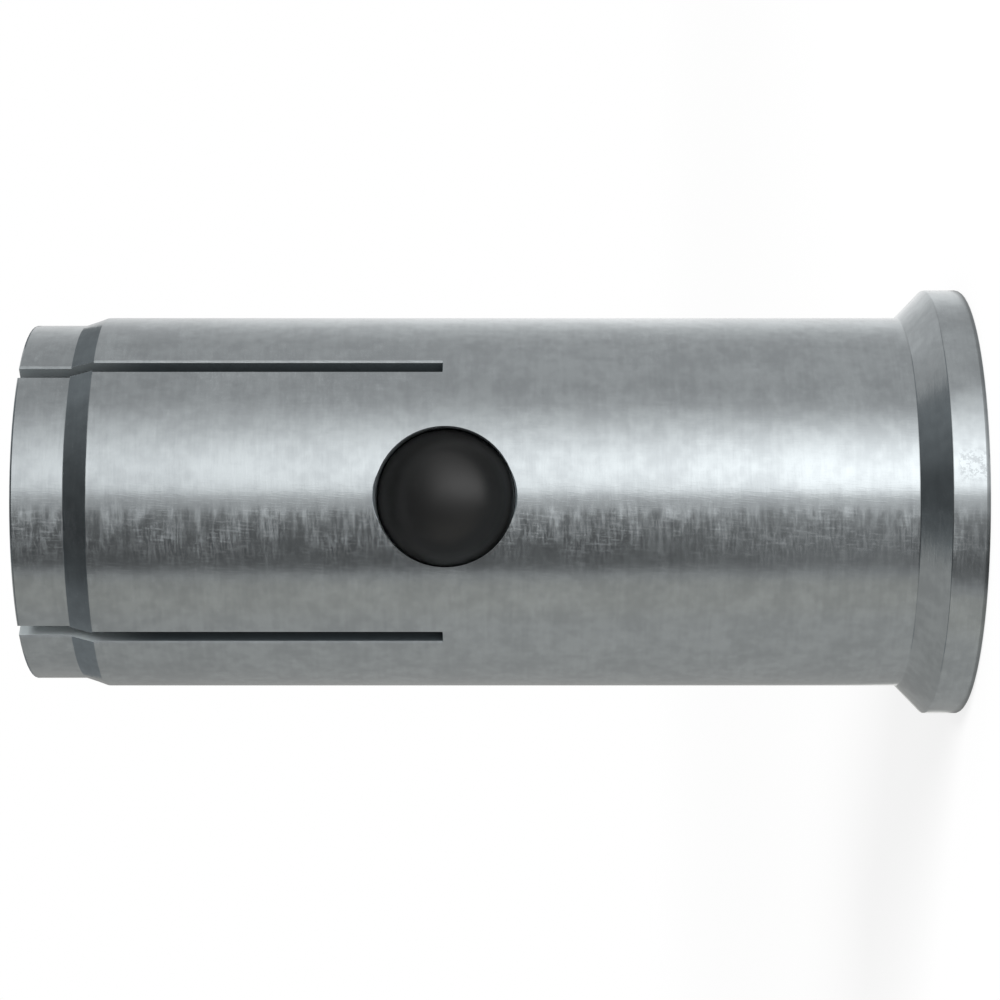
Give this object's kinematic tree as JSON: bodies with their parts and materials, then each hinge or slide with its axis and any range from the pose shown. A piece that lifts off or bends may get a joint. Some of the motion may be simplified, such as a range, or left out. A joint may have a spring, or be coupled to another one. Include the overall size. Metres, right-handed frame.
{
  "type": "drop-in anchor",
  "caption": "Drop-in expansion anchor: a zinc-plated steel sleeve with a slotted nose, a rim and an internal thread, holding an expansion cone behind a plastic ball.",
  "frame": {"origin": "centre of the mouth face, on the rim that the anchor stands on", "axes": "+Z along the anchor's axis, from the mouth to the slotted nose; -Y towards the plastic ball"},
  "size_m": [0.0138, 0.0138, 0.03],
  "materials": {
    "zinc_plated_steel": "turned steel with a blue-grey zinc plating, satin",
    "plain_steel": "turned plain steel, satin",
    "black_plastic": "moulded black plastic, satin"
  },
  "bodies": {
    "root": {"sleeve": "zinc_plated_steel", "expansion_cone": "plain_steel", "retaining_ball": "black_plastic"}
  },
  "joints": []
}
